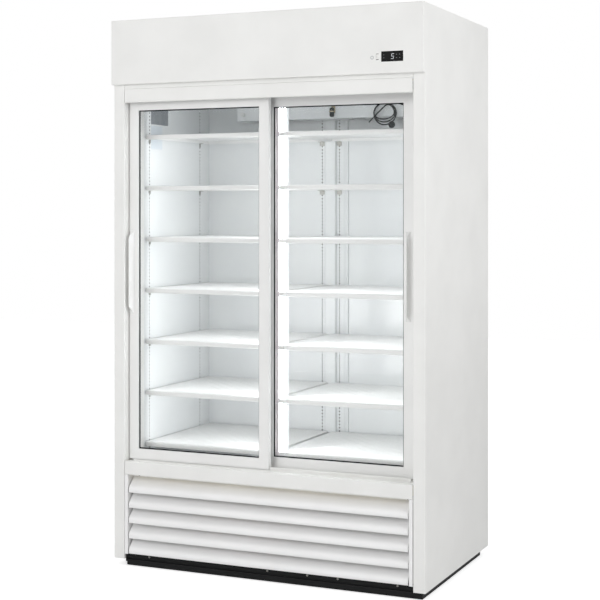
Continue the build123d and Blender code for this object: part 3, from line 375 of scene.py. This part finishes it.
# Perforated shelves
# White coated steel trays. The decks are punched with slots along their width, each row set half a
# pitch from the next, and a rounded bar stiffens the front edge.
first_shelf = 0.429
shelf_rise = 0.1895
shelf_count = 7
shelf_levels = [first_shelf + shelf_rise * i for i in range(shelf_count)]
shelf_bar_height = 0.017
shelf_bar_depth = 0.011
shelf_front = front_y + 0.110
shelf_back = front_y + 0.612
shelf_sheet = 0.0012
shelf_flange = 0.012
bay_inner = 0.008
bay_outer = 0.533
slot_cell = 0.525 / 63
slot_width = 0.0035
slot_pitch = 0.025
shelf_coat = finish_material("white_coated_shelf_sheet", "#F8F8F7", 0.35, "#F4F4F3", relief_mm=0.01)


def math_node(tree, operation, a, b=None, c=None):
    made = node(tree, "ShaderNodeMath", {"operation": operation})
    for socket, value in zip(made.inputs, (a, b, c)):
        if value is None:
            continue
        if isinstance(value, (int, float)):
            socket.default_value = value
        else:
            tree.links.new(value, socket)
    return made.outputs[0]


def deck_tree():
    # A fine grid loses the faces of each slot. Then its rows are moved, so that slots are narrow and
    # the lands between them wide.
    tree = bpy.data.node_groups.new("punched_deck", "GeometryNodeTree")
    tree.interface.new_socket("Geometry", in_out="OUTPUT", socket_type="NodeSocketGeometry")
    for label, kind in (("Cells", "NodeSocketInt"), ("Rows", "NodeSocketInt"), ("Cell", "NodeSocketFloat"),
                        ("Slot width", "NodeSocketFloat"), ("Slot pitch", "NodeSocketFloat"),
                        ("Corner", "NodeSocketVector"), ("Levels", "NodeSocketInt"),
                        ("Rise", "NodeSocketFloat"), ("Notch side", "NodeSocketFloat"),
                        ("Finish", "NodeSocketMaterial")):
        tree.interface.new_socket(label, in_out="INPUT", socket_type=kind)
    given = node(tree, "NodeGroupInput").outputs
    cells, rows, cell = given["Cells"], given["Rows"], given["Cell"]
    size_x = math_node(tree, "MULTIPLY", cells, cell)
    grid = node(tree, "GeometryNodeMeshGrid",
                links={"Size X": size_x, "Size Y": rows, "Vertices X": math_node(tree, "ADD", cells, 1),
                       "Vertices Y": math_node(tree, "ADD", rows, 1)})
    position = node(tree, "GeometryNodeInputPosition").outputs[0]
    place = node(tree, "ShaderNodeSeparateXYZ", links={"Vector": position})
    half_x = math_node(tree, "MULTIPLY", size_x, 0.5)
    from_left = math_node(tree, "DIVIDE", math_node(tree, "ADD", place.outputs["X"], half_x), cell)
    from_front = math_node(tree, "ADD", place.outputs["Y"], math_node(tree, "MULTIPLY", rows, 0.5))
    i = math_node(tree, "FLOOR", from_left)
    j = math_node(tree, "FLOOR", from_front)
    slot_row = math_node(tree, "COMPARE", math_node(tree, "MODULO", j, 2.0), 1.0, 0.1)
    row_pair = math_node(tree, "FLOOR", math_node(tree, "DIVIDE", j, 2.0))
    shift = math_node(tree, "MULTIPLY", math_node(tree, "MODULO", row_pair, 2.0), 3.0)
    along_slot = math_node(tree, "MODULO", math_node(tree, "ADD", i, shift), 6.0)
    in_slot = math_node(tree, "LESS_THAN", along_slot, 3.5)
    inside = math_node(tree, "MULTIPLY", math_node(tree, "GREATER_THAN", i, 1.5),
                       math_node(tree, "LESS_THAN", i, math_node(tree, "SUBTRACT", cells, 2.5)))
    punched = math_node(tree, "MULTIPLY", math_node(tree, "MULTIPLY", slot_row, in_slot), inside)
    from_post = math_node(tree, "MULTIPLY", given["Notch side"], from_left)
    near_post = math_node(tree, "LESS_THAN", math_node(tree, "ADD", from_post, math_node(
        tree, "MULTIPLY", cells, math_node(tree, "LESS_THAN", given["Notch side"], 0.0))), 3.0)
    notch = math_node(tree, "MULTIPLY", near_post, math_node(tree, "LESS_THAN", from_front, 4.0))
    holed = node(tree, "GeometryNodeDeleteGeometry", {"domain": "FACE"},
                 links={"Geometry": grid.outputs["Mesh"],
                        "Selection": math_node(tree, "MAXIMUM", punched, notch)})
    at_row = math_node(tree, "ROUND", from_front)
    pairs = math_node(tree, "FLOOR", math_node(tree, "DIVIDE", at_row, 2.0))
    odd = math_node(tree, "MODULO", at_row, 2.0)
    land = math_node(tree, "SUBTRACT", given["Slot pitch"], given["Slot width"])
    new_y = math_node(tree, "ADD", math_node(tree, "MULTIPLY", pairs, given["Slot pitch"]),
                      math_node(tree, "MULTIPLY", odd, land))
    new_x = math_node(tree, "MULTIPLY", from_left, cell)
    new_place = node(tree, "ShaderNodeCombineXYZ", links={"X": new_x, "Y": new_y})
    moved = node(tree, "GeometryNodeSetPosition",
                 links={"Geometry": holed.outputs["Geometry"], "Position": new_place.outputs["Vector"]})
    thick = node(tree, "GeometryNodeExtrudeMesh", links={"Mesh": moved.outputs["Geometry"]},
                 inputs={"Offset Scale": -shelf_sheet, "Individual": False})
    both = node(tree, "GeometryNodeJoinGeometry")
    tree.links.new(thick.outputs["Mesh"], both.inputs["Geometry"])
    tree.links.new(moved.outputs["Geometry"], both.inputs["Geometry"])
    level_step = node(tree, "ShaderNodeCombineXYZ", links={"Z": given["Rise"]})
    stack = node(tree, "GeometryNodeMeshLine",
                 links={"Count": given["Levels"], "Start Location": given["Corner"],
                        "Offset": level_step.outputs["Vector"]})
    spread = node(tree, "GeometryNodeInstanceOnPoints",
                  links={"Points": stack.outputs["Mesh"], "Instance": both.outputs["Geometry"]})
    real = node(tree, "GeometryNodeRealizeInstances", links={"Geometry": spread.outputs["Instances"]})
    painted = node(tree, "GeometryNodeSetMaterial",
                   links={"Geometry": real.outputs["Geometry"], "Material": given["Finish"]})
    node(tree, "NodeGroupOutput", links={"Geometry": painted.outputs["Geometry"]})
    return tree


def add_box(shape, low, high):
    made = bmesh.ops.create_cube(shape, size=1.0)
    for v in made["verts"]:
        v.co = Vector([low[k] + (v.co[k] + 0.5) * (high[k] - low[k]) for k in range(3)])
    return made["verts"]


def mesh_piece(name, shape, material):
    mesh = bpy.data.meshes.new(name)
    shape.to_mesh(mesh)
    shape.free()
    mesh.materials.append(material)
    made = bpy.data.objects.new(name, mesh)
    bpy.context.scene.collection.objects.link(made)
    return made


def shelf_rims(name, side):
    # Rounded front bar, side flanges that stop at the centre post, and the rear upstand of every level.
    shape = bmesh.new()
    x_in, x_out = bay_inner, bay_outer
    for level in shelf_levels:
        top = level + shelf_bar_height / 2
        low = top - shelf_flange
        under = level - shelf_bar_height / 2
        bar_back = shelf_front + shelf_bar_depth
        bar = add_box(shape, (x_in, shelf_front, under), (x_out, bar_back, top))
        edges = {e for v in bar for e in v.link_edges}
        upright = [e for e in edges if abs(e.verts[0].co.z - e.verts[1].co.z) > 0.01
                   and e.verts[0].co.y < shelf_front + 0.001]
        bmesh.ops.bevel(shape, geom=upright, offset=0.009, segments=5, affect="EDGES", profile=0.5)
        rim = [e for e in shape.edges
               if all(abs(v.co.z - top) < 1e-6 or abs(v.co.z - under) < 1e-6 for v in e.verts)
               and abs(e.verts[0].co.z - e.verts[1].co.z) < 1e-6
               and all(v.co.y < bar_back - 0.001 for v in e.verts) and len(e.link_faces) == 2]
        bmesh.ops.bevel(shape, geom=rim, offset=0.0042, segments=4, affect="EDGES", profile=0.5)
        add_box(shape, (x_out - shelf_sheet, bar_back, low), (x_out, shelf_back, top))
        add_box(shape, (x_in, front_y + 0.175, low), (x_in + shelf_sheet, shelf_back, top))
        add_box(shape, (x_in, shelf_back - shelf_sheet, low), (x_out, shelf_back, top))
    if side < 0:
        for v in shape.verts:
            v.co.x = -v.co.x
    bmesh.ops.recalc_face_normals(shape, faces=shape.faces)
    return mesh_piece(name, shape, shelf_coat)


punched_deck = deck_tree()
deck_rows = 39
for side, bay in ((-1, "left"), (1, "right")):
    corner = (bay_inner if side > 0 else -bay_outer, shelf_front + shelf_bar_depth,
              shelf_levels[0] + shelf_bar_height / 2)
    decks = grown(bay + "_shelf_decks", punched_deck, {
        "Cells": 63, "Rows": deck_rows, "Cell": slot_cell, "Slot width": slot_width, "Slot pitch": slot_pitch,
        "Corner": corner, "Levels": shelf_count, "Rise": shelf_rise, "Notch side": float(side),
        "Finish": shelf_coat})
    rims = shelf_rims(bay + "_shelf_rims", side)
    for piece in (decks, rims):
        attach(piece, "cabinet")
        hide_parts(bay + "_bay_shelves")


# Display figures and switch mark
# Lit segments behind the window: one digit and the small indicator dots beside it.
segment_glow = glow("lit_display_segment", "#B9BDC2", 0.25)
dim_dot = glow("dim_indicator", "#5E6164", 0.1)
lens_low, lens_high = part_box("display_lens")
lens_face = lens_low.y - 0.00015
lens_mid = (lens_low + lens_high) / 2


def segment(shape, x0, z0, x1, z1, width):
    a, b = Vector((x0, 0, z0)), Vector((x1, 0, z1))
    along = (b - a).normalized()
    across = Vector((-along.z, 0, along.x)) * width / 2
    ends = [a + across, a + along * width * -0.4, a - across, b - across, b + along * width * 0.4, b + across]
    corners = [shape.verts.new(lens_mid + Vector((p.x, lens_face - lens_mid.y, p.z))) for p in ends]
    shape.faces.new(corners)


digit = bmesh.new()
w, h, lean = 0.0078, 0.0082, 0.0009
digit_left = -0.0035
stroke = 0.0018
for x0, z0, x1, z1 in ((0, 2, 1, 2), (0, 1, 0, 2), (0, 1, 1, 1), (1, 0, 1, 1), (0, 0, 1, 0)):
    segment(digit, digit_left + x0 * w + lean * z0, (z0 - 1) * h,
            digit_left + x1 * w + lean * z1, (z1 - 1) * h, stroke)
bmesh.ops.recalc_face_normals(digit, faces=digit.faces)
digit_piece = mesh_piece("display_digit", digit, segment_glow)
dots = bmesh.new()
for x, z in ((-0.030, 0.0055), (-0.030, -0.0045), (0.0155, 0.0055), (0.0155, -0.0055),
             (0.0265, 0.0055), (0.0265, -0.0055)):
    segment(dots, x - 0.0012, z, x + 0.0012, z, 0.0022)
dots_piece = mesh_piece("display_dots", dots, dim_dot)
for piece in (digit_piece, dots_piece):
    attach(piece, "cabinet")

# Sun ring beside the switch, printed in pale grey.
sun_ink = finish_material("pale_grey_print", "#C9CACB", 0.5, "#C2C3C4")
ring = bmesh.new()
sun_centre = Vector((0.417, -0.3796, 1.806))
spokes = 24
inner = [ring.verts.new(sun_centre + Vector((0.0034 * math.cos(a), 0, 0.0034 * math.sin(a))))
         for a in [2 * math.pi * k / spokes for k in range(spokes)]]
outer = [ring.verts.new(sun_centre + Vector((r * math.cos(a), 0, r * math.sin(a))))
         for a, r in [(2 * math.pi * k / spokes, 0.0068 if k % 3 else 0.0052) for k in range(spokes)]]
for k in range(spokes):
    n = (k + 1) % spokes
    ring.faces.new((inner[k], outer[k], outer[n], inner[n]))
ring_piece = mesh_piece("switch_sun_mark", ring, sun_ink)
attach(ring_piece, "cabinet")


# Blank plates on the inner left wall
# A thin aluminium plate and a white card below it, both bare.
plate_metal = finish_material("satin_aluminium_plate", "#A3A7AC", 0.4, "#9B9FA4", metallic=0.6, patch_mm=30)
card_white = finish_material("white_card", "#DDE3E8", 0.6, "#D5DCE2")
plate = bmesh.new()
add_box(plate, (-0.5370, front_y + 0.161, 1.618), (-0.5364, front_y + 0.290, 1.722))
plate_piece = mesh_piece("rating_plate_blank", plate, plate_metal)
card = bmesh.new()
add_box(card, (-0.5370, front_y + 0.161, 1.525), (-0.5366, front_y + 0.245, 1.612))
card_piece = mesh_piece("wall_card_blank", card, card_white)
for piece, slot_name in ((plate_piece, "aluminium"), (card_piece, "white_plastic")):
    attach(piece, "cabinet")


# Floor and backdrop
# A plain white floor. It takes the cabinet's shadow and light, and a lift that only the camera sees
# brings the rest of it up to clean white.
def white_stage(name, verts, faces):
    mesh = bpy.data.meshes.new(name)
    mesh.from_pydata(verts, [], faces)
    made = bpy.data.objects.new(name, mesh)
    bpy.context.scene.collection.objects.link(made)
    return made


reach = 9
floor_z = -0.0005
floor = white_stage("floor", [(-reach, -reach, floor_z), (reach, -reach, floor_z), (reach, reach, floor_z),
                              (-reach, reach, floor_z)], [(0, 1, 2, 3)])
floor_paint = bpy.data.materials.new("white_floor")
floor_paint.use_nodes = True
floor_tree = floor_paint.node_tree
floor_shader = floor_tree.nodes["Principled BSDF"]
floor_shader.inputs["Base Color"].default_value = linear("#F4F4F4")
floor_shader.inputs["Roughness"].default_value = 0.9
rays = node(floor_tree, "ShaderNodeLightPath")
floor_lift = 0.62
seen_lift = math_node(floor_tree, "MULTIPLY", rays.outputs["Is Camera Ray"], floor_lift)
lift = node(floor_tree, "ShaderNodeEmission", links={"Strength": seen_lift}, inputs={"Color": (1, 1, 1, 1)})
both = node(floor_tree, "ShaderNodeAddShader", links={0: floor_shader.outputs[0], 1: lift.outputs[0]})
floor_tree.links.new(both.outputs[0], floor_tree.nodes["Material Output"].inputs["Surface"])
paint(floor, floor_paint)

world = bpy.data.worlds.new("studio")
bpy.context.scene.world = world
world.use_nodes = True
sky = world.node_tree
background = sky.nodes["Background"]
background.inputs["Color"].default_value = (1, 1, 1, 1)
background.inputs["Strength"].default_value = 0.46
rays = node(sky, "ShaderNodeLightPath")
mirrored = math_node(sky, "MAXIMUM", rays.outputs["Is Glossy Ray"], rays.outputs["Is Transmission Ray"])
seen = math_node(sky, "MAXIMUM", rays.outputs["Is Camera Ray"], mirrored)
clean = node(sky, "ShaderNodeBackground", inputs={"Color": (1, 1, 1, 1), "Strength": 1.0})
mix = node(sky, "ShaderNodeMixShader", links={0: seen, 1: background.outputs[0], 2: clean.outputs[0]})
sky.links.new(mix.outputs[0], sky.nodes["World Output"].inputs["Surface"])


# Studio lamps
# A large soft front lamp, a low one that fills under the header, and one to the right. Inside, slim lamps
# stand for the light strip, and a broad one behind each bay's shelf fronts for what the lining throws back.
def area_lamp(name, place, target, size, power, colour=(1, 1, 1)):
    data = bpy.data.lights.new(name, "AREA")
    data.shape = "RECTANGLE"
    data.size, data.size_y = size
    data.energy = power
    data.color = colour
    made = bpy.data.objects.new(name, data)
    made.location = place
    made.rotation_euler = (Vector(target) - Vector(place)).to_track_quat("-Z", "Y").to_euler()
    bpy.context.scene.collection.objects.link(made)
    return made


area_lamp("front_lamp", (-1.4, -4.4, 2.9), (-0.2, 0, 1.0), (3.0, 2.0), 50)
area_lamp("low_front_lamp", (-1.0, -4.2, 0.5), (-0.2, front_y, 0.9), (1.6, 0.5), 17)
area_lamp("side_lamp", (3.0, -0.9, 2.1), (0.6, -0.2, 1.3), (1.2, 1.2), 29)
cool = (0.95, 0.98, 1.0)
strip_x, strip_y = 0.004, front_y + 0.127
area_lamp("strip_left", (strip_x, strip_y, 1.05), (-0.3, 0.34, 1.05), (0.014, 1.25), 4.0, cool)
area_lamp("strip_right", (strip_x, strip_y, 1.05), (0.3, 0.34, 1.05), (0.014, 1.25), 2.2, cool)
bay_y = front_y + 0.125
area_lamp("bay_left", (-0.27, bay_y, 1.05), (-0.27, 0.3, 1.05), (0.5, 1.25), 2.1, cool)
area_lamp("bay_right", (0.27, bay_y, 1.05), (0.27, 0.3, 1.05), (0.5, 1.25), 2.8, cool)
